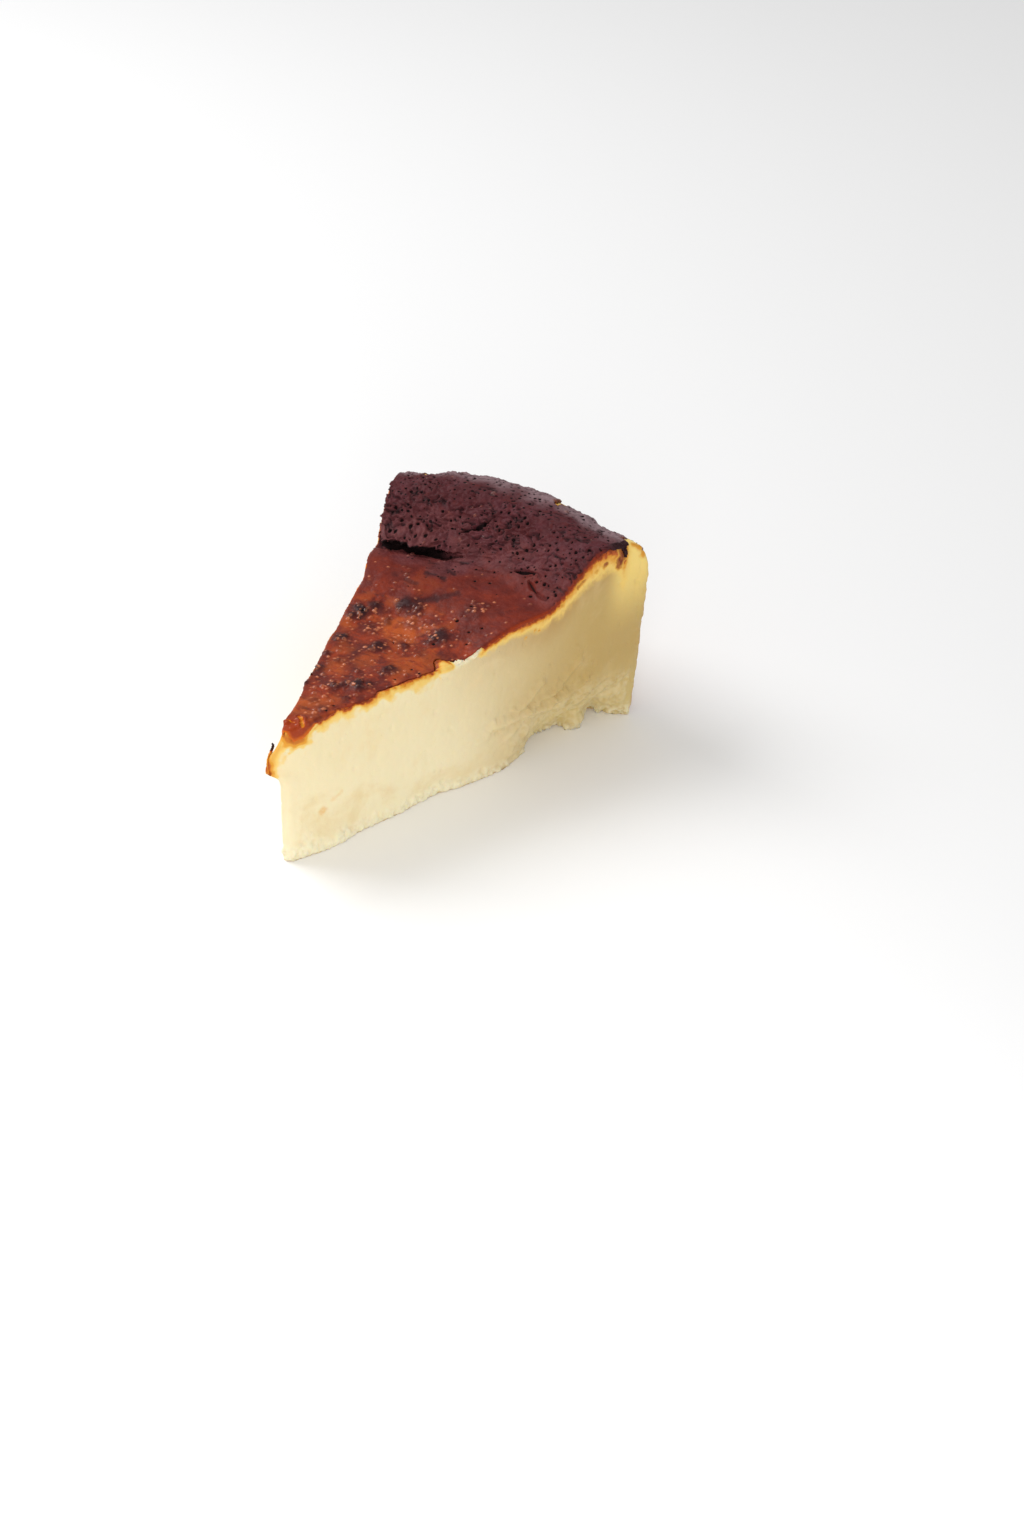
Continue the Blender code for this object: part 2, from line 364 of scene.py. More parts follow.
# open cracks in the crust: ends on the top, half width, depth
cracks = [
    ((12.2, 28.6), (17.3, 29.0), 0.5, 1.1), ((17.6, 26.9), (21.4, 24.6), 0.45, 0.8),
    ((21.4, 24.6), (25.9, 23.0), 0.4, 0.6), ((-12.5, 26.1), (-4.9, 28.1), 0.4, 0.7),
    ((1.5, 25.6), (7.5, 26.8), 0.3, 0.5), ((-8.2, 32.6), (-4.6, 35.0), 0.4, 0.8),
    ((-5.0, 34.6), (-3.0, 36.4), 0.75, 1.2), ((-3.2, 36.2), (-1.4, 38.8), 0.4, 0.7),
    ((-20.5, 31.0), (-16.6, 30.2), 0.35, 0.5), ((-15.6, 33.4), (-13.4, 36.2), 0.35, 0.4),
    ((-9.0, 38.6), (-6.4, 40.6), 0.35, 0.4),
]

# dark smudges on the middle: ends on the top, half width, darkness
smudges = [
    ((-5.0, 6.2), (-0.9, 9.9), 1.3, 0.75), ((-0.9, 9.9), (3.3, 13.8), 1.0, 0.6),
    ((-12.2, 11.4), (-8.7, 11.4), 0.9, 0.55), ((-15.9, 11.5), (-14.9, 11.5), 0.9, 0.45),
    ((-9.1, 17.1), (-6.3, 17.4), 0.55, 0.8), ((-4.2, 17.2), (-3.6, 17.4), 0.8, 0.85),
    ((-4.7, 21.3), (-2.2, 20.7), 0.55, 0.8), ((-4.4, 26.5), (-2.0, 26.7), 0.5, 0.9),
    ((-11.0, 21.4), (-9.4, 22.2), 0.5, 0.6), ((4.4, 18.6), (6.6, 18.2), 0.45, 0.5),
]

# small tears near the tip that show golden custard: ends on the top, half width, depth
tears = [
    ((-0.4, -50.9), (1.0, -51.6), 0.42, 0.4), ((1.0, -51.6), (2.6, -53.4), 0.42, 0.4),
    ((-1.6, -54.2), (0.2, -53.8), 0.2, 0.3),
]


def notchDepth(along, ragged):
    # how far the crust stands back from the right cut, below 0 where it reaches over it
    depth = -0.6 + 0.3 * ragged
    for centre, spread, reach in notches:
        depth = depth + (reach + 0.6) * hump(centre, spread, along)
    return depth


def skirtBelow(points, where):
    # how far the crust still hangs down below each point at the cuts
    along, onRight = where.along, where.onRight
    nose = smooth(-0.8, 2.8, along) * smooth(10.5, 3.8, along) * smooth(12, 9, where.radius)
    centre, spread, length = crust["cornerCurl"]
    curl = length * hump(centre, spread, along) * onRight
    rim = crust["rimSkirt"] * smooth(69, 74, along) * onRight
    drop = np.interp(along, *zip(*edgeDrop)) * onRight
    ragged = 0.45 * grain(points, 1.6, 2.0, 2) + 0.5 * grain(points, 6.0, 3.0, 2)
    return crust["skirt"] + ragged + crust["tipDroop"] * nose + curl + rim + drop - where.depth


def crustCover(points, where):
    # above 0 where the crust lies; its edge is where this is 0
    radius, share = where.radius, where.share
    ragged = grain(points, 1.6, 2.0, 2)
    slow = grain(points, 6.0, 3.0, 2)
    hanging = skirtBelow(points, where) + 4 * smooth(0.5, 1.5, where.inside) * (where.depth < 6)
    cover = np.minimum(hanging, where.insideRight - notchDepth(where.along, ragged))
    reach = crust["wallReach"] + 4.0 * slow + 2.2 * ragged
    for centre, spread, bare in crust["peeks"]:
        reach -= bare * hump(centre, spread, share)
    wall = reach - (cake["rim"] - points[:, 2])
    pastCorner = smooth(0.02, 0.15, share + 0.07 * slow + 0.05 * ragged)
    corner = cake["crest"] + 1.9 + 0.5 * slow - radius + 14 * pastCorner
    beyond = radius > cake["crest"] - 1
    return np.where(beyond, np.minimum(np.minimum(cover, wall), corner), cover)


def survey(piece, topHeight):
    # a piece's points and where they are, with their depth below the top and the crust's cover there
    points = readPoints(piece)
    where = place(points)
    where.depth = topHeight(points) - points[:, 2]
    where.cover = crustCover(points, where)
    return points, where


def bubbleChance(radius, share):
    # most bubbles sit low on the middle and towards the left cut
    chance = 1 - 0.88 * smooth(54, 66, radius) - 0.06 * smooth(78, 88, radius)
    return chance * (0.45 + 0.55 * smooth(0.25, 0.55, share))


def crustFeatures(topHeight):
    # pores (mostly in the ring), bubbles and blisters: place, radius, height, and kind or darkness
    random = np.random.default_rng(crust["seed"])
    features = []
    half = math.radians(cake["wedge"] / 2)

    def scatter(count, chance, apart):
        found = np.empty((0, 2))
        while len(found) < count:
            angle = random.uniform(-half, half)
            radius = (cake["wall"] + 1) * math.sqrt(random.uniform(0, 1))
            if random.uniform() > chance(radius, 0.5 - angle / (2 * half)):
                continue
            spot = np.array((radius * math.sin(angle), radius * math.cos(angle))) + cake["middle"]
            if len(found) and np.hypot(*(found - spot).T).min() < apart:
                continue
            found = np.vstack((found, spot))
        return found

    for spot in scatter(crust["pores"], lambda radius, share: 0.05 + 0.95 * smooth(80, 92, radius), 1.1):
        size = random.uniform(0.26, 0.66)
        features.append((spot, size, -size * random.uniform(0.8, 1.25), "pore"))
    for spot in scatter(crust["bubbles"], bubbleChance, 0.9):
        size = random.choice((0.32, 0.42, 0.54, 0.78), p=(0.42, 0.33, 0.18, 0.07))
        features.append((spot, size, size * random.uniform(0.45, 0.8), "bubble"))
    for x, y, size, height, dark in blisters:
        features.append((np.array((x, y)), size, height, dark))
        for _ in range(int(4.5 * size)):  # small bubbles gather on and round a blister
            turn, away = random.uniform(0, math.tau), size * random.uniform(0.2, 1.25)
            spot = np.array((x + away * math.cos(turn), y + away * math.sin(turn)))
            small = random.uniform(0.3, 0.65)
            kind = random.choice(("bubble", "burntBubble"))
            features.append((spot, small, small * random.uniform(0.35, 0.65), kind))
    spots = np.array([feature[0] for feature in features])
    heights = topHeight(np.c_[spots, np.zeros(len(spots))])
    return [(*spot, height, *rest[1:]) for spot, height, rest in zip(spots, heights, features)]


def shareAlong(points, a, b):
    # where points lie along a line: 0 at a, 1 at b
    return (points - a) @ (b - a) / ((b - a) @ (b - a))


def awayFrom(points, path):
    # distance of points from a line through a few places
    path = np.array(path)
    nearest = np.full(len(points), np.inf)
    for a, b in zip(path, path[1:]):
        along = np.clip(shareAlong(points, a, b), 0, 1)
        nearest = np.minimum(nearest, np.linalg.norm(points - a - along[:, None] * (b - a), axis=1))
    return nearest


def reliefOf(points, where, features):
    # how far the crust stands out at each point, and its burnt, porous, bubbly and torn shares; the burnt and
    # porous shares also hold painted shade in furrows and cracks
    radius, share = where.radius, where.share
    ring = smooth(-3, 5, radius - foldRadius(share))
    lift = (0.25 + 0.35 * ring) * grain(points, 7.0, 1.0)
    lift += (0.1 + 0.16 * ring) * grain(points, 2.4, 4.0)
    around = points.copy()  # wrinkles run round the cake, so noise is stretched that way
    around[:, 0] = 0.5 * points[:, 0] + 1.6 * grain(points, 4.0, 13.0, 2)
    around[:, 1] += 1.6 * grain(points, 4.0, 14.0, 2)
    nearFold = hump(6, 7, radius - foldRadius(share)) * smooth(0.15, 0.5, share)
    worms = np.clip(ridges(around, 1.9, 5.0), -0.2, 1)
    lift += 0.25 * ring + (0.04 + 0.22 * ring + 0.4 * nearFold) * worms
    lift += (0.03 + 0.11 * ring) * ridges(points, 1.3, 6.0)
    blotch = grain(points, 2.2, 8.5)
    char = 0.25 * smooth(0.05, 0.45, grain(points, 8.0, 8.0)) * (1 - ring)
    valley = ridges(around, 2.6, 36.0)
    patch = smooth(-0.12, 0.1, grain(points, 3.4, 37.0, 2)) * ring
    lift -= 0.42 * patch * smooth(0.62, 0.96, valley)
    # the furrows are painted darker, nearly black at their bottoms: partly burnt crust, partly painted shade
    char = np.maximum(char, 0.85 * patch * smooth(0.62, 0.96, valley))
    pore, bubble, beads = np.zeros((3, len(points)))
    pore += 0.55 * patch * smooth(0.86, 1.0, valley)
    tree = pointTree(points)
    for x, y, z, size, height, kind in features:
        isBlister = not isinstance(kind, str)
        ids, away = within(tree, (x, y, z), size * (2.1 if isBlister else 1.5))
        away = away / size
        dome = np.clip(1 - away**2, 0, 1)
        if isBlister:
            lift[ids] += 0.7 * height * smooth(1.35, 0.1, away + 0.5 * blotch[ids])
            char[ids] = np.maximum(char[ids], kind * smooth(1.9, 0.2, away + 0.6 * blotch[ids]))
        elif kind == "pore":
            lift[ids] += height * dome**1.3 + 0.1 * hump(1.2, 0.25, away)
            # the pits are painted nearly black: painted shade inside them
            pore[ids] = np.maximum(pore[ids], smooth(0.95, 0.5, away))
        else:
            beads[ids] = np.maximum(beads[ids], height * dome)
            if kind == "bubble":
                bubble[ids] = np.maximum(bubble[ids], smooth(0, 0.5, dome))
    lift += beads
    tear = np.zeros(len(points))
    flat = points[:, :2]
    onTop = smooth(41.0, 41.7, points[:, 2])
    wobble = 1 + 0.5 * grain(points, 1.2, 23.0, 2)
    for *path, width, deep in tears:
        away = awayFrom(flat, path) * wobble / width
        tear = np.maximum(tear, smooth(1.6, 0.6, away) * onTop)
        lift += deep * (0.8 * hump(2.1, 0.7, away) - hump(0, 1, away)) * onTop
    for *path, width, dark in smudges:
        away = awayFrom(flat, path) * (1 + 0.9 * blotch) / width
        char = np.maximum(char, dark * smooth(1.7, 0.2, away))
        lift -= 0.12 * hump(0, 1, away)
    for *path, width, deep in cracks:
        along = shareAlong(flat, *np.array(path))
        width = width * (0.35 + 0.65 * np.sin(math.pi * np.clip(along, 0.05, 0.95)))
        away = awayFrom(flat, path) / width
        cut = hump(0, 1, away)
        lift += deep * (0.3 * hump(2.2, 0.8, away) - cut)
        # crack floors are painted nearly black: painted shade in the cracks
        pore = np.maximum(pore, cut * (deep - 0.2))
    return lift, char, pore, bubble, tear


def edgeGlow(points, where):
    # 0 on the top, rising over the crust's thin edge to 1 low on its skirt
    radius, inside, along = where.radius, where.inside, where.along
    uneven = grain(points, 5.0, 15.0, 2)
    onTop = smooth(0.7, 0.0, inside) * smooth(-0.1, 0.5, uneven) * (radius < cake["crest"])
    tip = 1 - smooth(6.0, 10.0, radius)
    low = smooth(0.45 + 3.6 * tip, 0.0, skirtBelow(points, where))
    low = low * smooth(0.1, 0.4, where.depth) * (inside < 2) * (1 - 0.34 * tip)
    curled = hump(crust["cornerCurl"][0], 2.2, along) * where.onRight
    darkEdge = np.clip(smooth(64, 72, along) * (0.6 + 0.6 * grain(points, 3.0, 24.0, 2)), 0, 0.8)
    ember = hump(87, 6, radius) * smooth(1.3, 0.2, where.insideLeft) * smooth(-0.3, 0.2, uneven)
    glow = np.maximum(np.maximum(0.4 * onTop, 0.6 * ember), low)
    return glow * (1 - 0.9 * curled) * (1 - darkEdge)


def amberMask(points):
    amber = np.zeros(len(points))
    sway = 1 + 0.9 * grain(points, 3.5, 27.0)
    for x, y, size, strength in ambers:
        away = np.hypot(points[:, 0] - x, points[:, 1] - y) * sway / size
        amber = np.maximum(amber, strength * smooth(1.6, 0.3, away))
    return amber


def leanLip(points, lip, offFold):
    # leans the ring's lip in over the middle
    at = points[:, :2] - cake["middle"]
    inwards = -at / np.maximum(np.hypot(at[:, 0], at[:, 1]), 1)[:, None]
    wavy = 1 + 0.5 * grain(points, 4.0, 12.0) + 0.5 * grain(points, 1.8, 26.0, 2)
    lean = crust["lipReach"] * wavy * lip * (1 - smooth(1.2, 6.0, offFold))
    points[:, :2] += inwards * lean[:, None]
    points[:, 2] += 0.3 * lip * (1 - smooth(1.2, 4.0, offFold))


def crustSheet(core, name, topHeight, features, isRing):
    sheet = remeshed(core, name, crust["grain"])
    points, where = survey(sheet, topHeight)
    offFold = where.radius - foldRadius(where.share)
    ringStart, middleEnd = crust["overlap"]
    mine = offFold > ringStart if isRing else offFold < middleEnd
    selectPoints(sheet, ~((where.cover > 0) & mine))
    bpy.ops.mesh.delete(type="VERT")
    bpy.ops.mesh.select_non_manifold(extend=False)
    bpy.ops.mesh.vertices_smooth(factor=0.5, repeat=4)
    setMode("OBJECT")

    points, where = survey(sheet, topHeight)
    normals = readNormals(sheet)
    radius, share, along = where.radius, where.share, where.along
    depth, cover = where.depth, where.cover
    offFold = radius - foldRadius(share)
    lip = lipStrength(share)
    lift, char, pore, bubble, tear = reliefOf(points, where, features)
    skirt = smooth(0.15, 0.5, depth) * (radius < cake["crest"])
    lift = lift * (1 - 0.7 * skirt) - 0.15 * (1 - skirt) + 0.1 * skirt
    if isRing:
        lift += 0.05 - 0.25 * (1 - smooth(ringStart, 3.0, offFold)) * (1 - lip)
    else:
        lift += 0.05 - 0.25 * smooth(ringStart, middleEnd, offFold) * (1 - lip)
        offLip = offFold + 0.9 * grain(points, 4.0, 29.0, 2) + 1.2 * (1 - lip)
        lift -= 3.0 * smooth(-1.6, 1.2, offLip) * lip
        # under the ring's lip the middle is painted nearly black: painted shade in the gap
        pore = np.maximum(pore, smooth(-1.6, -0.6, offLip) * lip)
    wallFade = smooth(4.5, 0.0, cover + 1.6 * grain(points, 1.6, 25.0, 2)) * (radius > cake["crest"] + 2)
    lift -= 0.2 * wallFade
    corner = crust["cornerCurl"][0]
    curl = hump(corner, np.where(along < corner, 7.0, 3.4), along) * smooth(2.4, 1.0, where.insideRight)
    char = np.maximum(char, smooth(0.2, 0.8, curl))
    points = points + normals * lift[:, None]
    if isRing:
        leanLip(points, lip, offFold)
        # the lip's inner edge is painted nearly black: painted shade beneath the overhang
        pore = np.maximum(pore, 0.8 * lip * (1 - smooth(1.4, 2.0, offFold)))
    writePoints(sheet, keepInside(points))

    overMiddle = smooth(0.42, 0.62, share)  # there the ring ends at its lip, elsewhere it fades out
    ring = smooth(77, 92 - 5 * overMiddle, radius + 5 * grain(points, 7.0, 35.0) + 3 * overMiddle)
    if isRing:
        ring = np.maximum(ring, 0.85 * overMiddle)
    border = smooth(58, 66, along) * smooth(0.1, 0.4, depth) * smooth(2.0, 1.0, where.insideRight)
    border *= smooth(1.6, 0.3, cover + 0.8 * grain(points, 2.0, 32.0, 2)) * smooth(103, 98, along)
    tip = np.maximum(0.85 * (1 - smooth(4.0, 9.0, radius)), 0.65 * border)
    glow = np.maximum(edgeGlow(points, where), tear)
    writeMasks(sheet, amber=amberMask(points), char=char, pore=pore, bubble=bubble)
    writeMasks(sheet, glow=glow, ring=ring, tip=tip, wallFade=wallFade)
    thickness = crust["thickness"] * mm
    finishModifier(sheet, "SOLIDIFY", thickness=thickness, offset=-1, use_even_offset=False)
    return sheet


# the custard under it
custard = {
    "grain": 0.58,
    "sink": (0.25, 2.0),  # how far it lies under the crust: at its edges, and further in
    "cavity": 3.4,  # extra depth under the ring's lip
    "knifeMarks": 0.07,
    "pores": 150,
    "footHeight": 6.5,
    "footLumps": 1.15,
    "tornHollow": (71.0, 17.0, 1.2),  # along the right cut from here, up to this height, roughness
    "slant": 32,  # degrees at which the knife smeared it upwards there
    "bite": (49.4, 3.4),  # the browned bite at the top of the right cut: place and reach
    "seed": 5,
}

# the burnt flap that clings to the lobe at the tip
flake = {
    "path": [
        (-4.5, -56.8, 35.9), (-4.0, -57.2, 35.2), (-3.9, -58.1, 34.2), (-4.0, -59.1, 33.0),
        (-3.8, -59.9, 31.8), (-3.4, -60.2, 30.5), (-3.3, -60.4, 29.1), (-2.5, -60.4, 28.4),
    ],
    "widths": (0.35, 0.7, 0.75, 0.65, 0.6, 0.5, 0.4, 0.2),
    "thinWay": (-0.95, -0.31, 0),  # the direction it is flattened in
    "flatness": 0.55,  # share of its thickness that is left there
}

# golden and orange browning, at the tip and last on the bare corner of the rim: path, reach, and strength
# (0.3 is pale, 0.6 golden, 1 orange)
tipGlow = [
    (flake["path"], 2.4, 1.0),
    ([(-1.0, -57.6, 40.5), (-1.4, -58.4, 38.0), (-2.0, -58.8, 36.0), (-2.9, -60.0, 32.0)], 4.2, 0.6),
    ([(-0.5, -57.8, 40.6), (0.9, -57.2, 39.2), (1.5, -54.9, 37.3), (2.2, -53.3, 37.4)], 3.8, 0.92),
    ([(2.2, -53.3, 37.4), (2.8, -51.6, 39.0), (3.4, -49.9, 40.7)], 1.8, 0.6),
    ([(37.7, 47.9, 58.6), (39.0, 50.6, 56.4), (39.4, 51.6, 54.0)], 1.9, 0.75),
]

# the golden band under the crust: place along the right cut and width there
goldBand = [(0, 1.5), (9, 1.8), (20, 2.1), (24, 2.2), (45, 2.0), (49, 2.6), (51, 1.8), (52, 0.0)]
goldBand += [(58, 0.2), (62, 1.5), (73, 2.1), (85, 2.6), (95, 4.4), (107, 6.0), (118, 5.0)]

# raised smears that the knife left on the right cut: points (along, height), half width, rise
smears = [
    ((65.7, 16.7), (73.6, 16.9), (84.8, 16.1), (91.7, 18.0), (97.0, 19.2), 1.3, 1.5),
    ((73.5, 18.8), (78.0, 21.4), (80.2, 23.4), (81.8, 24.9), 1.0, 1.2),
    ((77.8, 17.8), (83.5, 19.9), (88.8, 20.8), 0.9, 1.0),
    ((84.0, 19.5), (90.0, 22.5), (95.0, 27.0), 1.2, 0.7),
    ((60.0, 13.0), (66.0, 14.5), (70.0, 15.8), 0.8, 0.3),
]

# stains that it dragged down from the crust: points (along, height), half width, darkness
stains = [
    ((75.3, 41.7), (75.6, 41.9), 0.5, 0.5), ((78.4, 43.2), (78.6, 43.3), 0.45, 0.45),
    ((79.8, 42.7), (80.0, 42.8), 0.45, 0.5), ((87.4, 47.4), (87.6, 47.7), 0.6, 0.5),
    ((92.6, 51.5), (94.9, 53.0), 0.8, 0.55), ((95.3, 54.4), (95.5, 54.6), 0.6, 0.45),
    ((98.9, 54.4), (99.2, 54.6), 0.6, 0.42), ((101.8, 55.4), (102.2, 55.6), 0.9, 0.75),
    ((107.6, 59.4), (108.0, 56.6), (107.2, 54.2), 1.5, 0.76),
    ((10.3, 12.1), (10.8, 12.4), 1.3, 0.26), ((13.4, 14.2), (16.2, 15.8), 0.7, 0.17),
]


def goldMask(points, where):
    # 1 at the crust's edge, 0.5 at the golden band's lower edge, 0 well below it
    along, cover = where.along, where.cover
    width = np.interp(along, *zip(*goldBand))
    width = np.where(where.onRight, width, 1.8 + 1.6 * grain(points, 12.0, 21.0))
    calm = smooth(62, 70, along)
    wobble = np.clip(0.9 + 0.7 * grain(points, 3.0, 22.0, 2), 0.5, 1.6)
    width = width * (wobble * (1 - calm) + (1 + 0.4 * grain(points, 7.0, 23.5, 2)) * calm)
    gold = np.clip(1 - 0.5 * np.maximum(-cover, 0) / np.maximum(width, 0.05), 0, 1)
    centre, reach = custard["bite"]
    inBite = smooth(reach, 2.0, np.abs(along - centre)) * smooth(1.7, 0.7, where.depth) * where.onRight
    gold = np.maximum(gold, inBite * (0.58 + 0.38 * smooth(-3.2, -1.0, cover)))
    return gold * smooth(cake["crest"] + 5, cake["crest"] + 0.5, where.radius)


def sinkUnder(where):
    # how far the custard lies under the crust
    edge, deep = custard["sink"]
    radius, covered = where.radius, where.cover > 0
    sink = np.where(covered, edge + (deep - edge) * smooth(0.8, 3.0, where.inside), 0)
    sink = np.where(radius > cake["crest"], edge * covered * 1.6, sink)
    offFold = radius - foldRadius(where.share)
    return sink + custard["cavity"] * lipStrength(where.share) * hump(1.5, 2.5, offFold) * covered


def crumbly(points):
    # rounded lumps of two sizes
    large = np.array([1 - noise.voronoi(spot)[0][0] for spot in (points / 2.4).tolist()])
    small = np.array([1 - noise.voronoi(spot)[0][0] for spot in (points / 1.2 + 3.7).tolist()])
    return 0.65 * large + 0.35 * small + 0.5 * grain(points, 1.1, 6.0)


def tearHollow(points, where, isRight, lumps):
    # the torn hollow at the foot of the right cut, and the drag lines that lead to it
    along, height = where.along, points[:, 2]
    start, top, rough = custard["tornHollow"]
    hollow = smooth(start - 3, start + 3, along) * smooth(top + 3, top - 3, height) * isRight
    slant = math.radians(custard["slant"])
    u = along * math.cos(slant) + height * math.sin(slant)
    v = height * math.cos(slant) - along * math.sin(slant)
    drag = np.clip(ridges(np.c_[u / 4.0, v, where.insideRight], 4.2, 33.0), -0.4, 1)
    smeared = smooth(36, 66, along) * smooth(30, 20, height) * isRight
    lift = rough * hollow * (0.7 * grain(points, 5.0, 17.0) + 0.15 * (lumps - 0.4))
    return lift + (0.14 * smeared + 0.9 * hollow) * drag, hollow


def raiseSmears(points, where, isRight):
    # each smear has a shallow groove below it
    onCut = np.c_[where.along, points[:, 2]]
    lift, smear = np.zeros((2, len(points)))
    wobble = 1 + 0.8 * grain(points, 2.0, 18.0, 2)
    for *path, width, rise in smears:
        away = awayFrom(onCut, path) * wobble / width
        below = awayFrom(onCut + (0, 1.9 * width), path) / width
        smear = np.maximum(smear, hump(0, 1.4, away) * isRight)
        lift += rise * (hump(0, 1, away) - 0.45 * hump(0, 0.8, below)) * isRight
    return lift, smear


def stainMask(points, where, isRight):
    stain = np.zeros(len(points))
    onCut = np.c_[where.along, points[:, 2]]
    wobble = 1 + 0.6 * grain(points, 1.4, 19.0, 2)
    for *path, width, dark in stains:
        away = awayFrom(onCut, path) * wobble / width
        stain = np.maximum(stain, dark * smooth(1.6, 0.3, away) * isRight)
    return stain


def noseMask(points):
    nose = np.zeros(len(points))
    wobble = 1 + 0.5 * grain(points, 2.0, 28.0, 2)
    for path, reach, strength in tipGlow:
        nose = np.maximum(nose, strength * smooth(reach, 0.3, awayFrom(points, path) * wobble))
    return nose


def pressPits(points, lift, bare):
    # small round pits at random places on the open cuts
    random = np.random.default_rng(custard["seed"])
    tree = pointTree(points)
    for spot in points[random.choice(np.flatnonzero(bare), custard["pores"], replace=False)]:
        size = random.uniform(0.5, 1.0)
        ids, away = within(tree, spot, size)
        lift[ids] -= 0.35 * size * (1 - (away / size) ** 2)


def makeCustard(core, topHeight):
    piece = remeshed(core, "custard", custard["grain"])
    points, where = survey(piece, topHeight)
    normals = readNormals(piece)
    radius, along, height = where.radius, where.along, points[:, 2]
    depth, cover = where.depth, where.cover
    isCut = (np.abs(normals[:, 2]) < 0.6) & (radius < cake["wall"] - 4)
    isRight = isCut & (where.insideRight < where.insideLeft)

    marks = grain(points, 1.6, 3.3, 3, (1, 1, 2.2)) + 1.6 * grain(points, 6.0, 4.4, 2, (1, 1, 1.5))
    lift = custard["knifeMarks"] * marks * smooth(0.5, 2.0, depth)
    lumps = crumbly(points)
    footTop = custard["footHeight"] * (0.75 + 0.9 * grain(points, 9.0, 7.0, 2))
    foot = smooth(1.0, 0.35, height / np.maximum(footTop, 0.5)) * (normals[:, 2] > -0.7)
    lift += custard["footLumps"] * foot * (lumps - 0.45)
    tornLift, hollow = tearHollow(points, where, isRight, lumps)
    smearLift, smear = raiseSmears(points, where, isRight)
    lift += tornLift + smearLift
    nearCut = where.insideRight < 3
    torn = np.interp(along, (51.5, 53, 60, 62), (0, 1, 1, 0)) * smooth(1.9, 0.5, depth) * nearCut
    lift += torn * (0.2 + 1.0 * grain(points, 1.5, 20.0, 2))
    lift += 0.6 * hump(49.6, 1.9, along) * hump(0.9, 1.3, depth) * nearCut  # a lump in the bite
    lift = np.where(cover > 0, 0, lift) - sinkUnder(where)
    pressPits(points, lift, isCut & (cover < -0.5))
    onWall = radius > cake["wall"] - 3.75
    crinkles = 0.16 * ridges(points, 3.0, 9.0, (1, 1, 2.5)) + 0.2 * grain(points, 1.5, 2.2)
    lift += crinkles * onWall

    at = points[:, :2] - cake["middle"]
    outwards = (normals[:, :2] * at).sum(1) / np.maximum(radius, 1)
    skin = smooth(0.35, 0.8, outwards) * smooth(106, 110, radius)
    skin = np.maximum(skin, 0.75 * smooth(-0.5, -0.85, normals[:, 2]))
    bound = where.share + 0.04 * grain(points, 4.0, 34.0, 2)
    lobe = smooth(102, 110, radius) * smooth(0.15, 0.05, bound) * smooth(30, 54, height)
    # painted highlights: the tops of the lumps at the foot, and more weakly in the torn hollow, are painted
    # pale
    crumbHighlights = np.maximum(foot, 0.35 * hollow) * smooth(0.1, 0.7, lumps)
    gold = goldMask(points, where) * (1 - torn)
    stain = stainMask(points, where, isRight)
    writeMasks(piece, gold=gold, under=smooth(0.25, 0.9, cover), stain=stain, skin=skin, lobe=lobe)
    writeMasks(piece, noseSkin=noseMask(points), smear=smear, bake=smooth(16, 1, depth))
    # torn holds the bare torn cream at the top of the cut and the painted highlights on the lumps
    writeMasks(piece, torn=np.maximum(crumbHighlights, torn))
    points = points + normals * lift[:, None]
    points[:, 2] = np.maximum(points[:, 2], 0)
    writePoints(piece, keepInside(points))
    return piece


def makeFlake():
    path = [Vector(point) * mm for point in flake["path"]]
    widths = flake["widths"]
    turn = (path[1] - path[0]).to_track_quat("Z", "Y").to_euler()
    bpy.ops.mesh.primitive_circle_add(
        vertices=8, radius=widths[0] * mm, fill_type="NGON", location=path[0], rotation=turn
    )
    piece = bpy.context.active_object
    piece.name = piece.data.name = "burntFlake"
    bpy.ops.object.transform_apply(location=True, rotation=True, scale=True)
    editAll()
    for a, b, before, width in zip(path, path[1:], widths, widths[1:]):
        bpy.ops.mesh.extrude_region_move(TRANSFORM_OT_translate={"value": b - a})
        bpy.ops.transform.resize(value=(width / before,) * 3, center_override=b)
    turnOutwards()
    finishModifier(piece, "SUBSURF", levels=3, render_levels=3)
    points = readPoints(piece)
    spine = np.array(flake["path"])
    nearest = np.array([np.argmin(np.linalg.norm(spine - point, axis=1)) for point in points])
    side = (points - spine[nearest]) @ flake["thinWay"]
    points -= np.outer(side * (1 - flake["flatness"]), flake["thinWay"])
    points += readNormals(piece) * (0.2 * grain(points, 0.8, 30.0))[:, None]
    writePoints(piece, keepInside(points))
    burnt = np.maximum(smooth(34.2, 35.0, points[:, 2]), smooth(29.2, 28.6, points[:, 2]))
    writeMasks(piece, char=burnt, glow=0.93 * (1 - burnt) * (1 + 0.3 * grain(points, 1.2, 31.0)))
    return piece


# materials


def linear(**tones):
    # colours as they are picked from a picture, made linear
    parts = {name: np.array(tone) / 255 for name, tone in tones.items()}
    return {
        name: (*np.where(tone <= 0.04045, tone / 12.92, ((tone + 0.055) / 1.055) ** 2.4), 1.0)
        for name, tone in parts.items()
    }


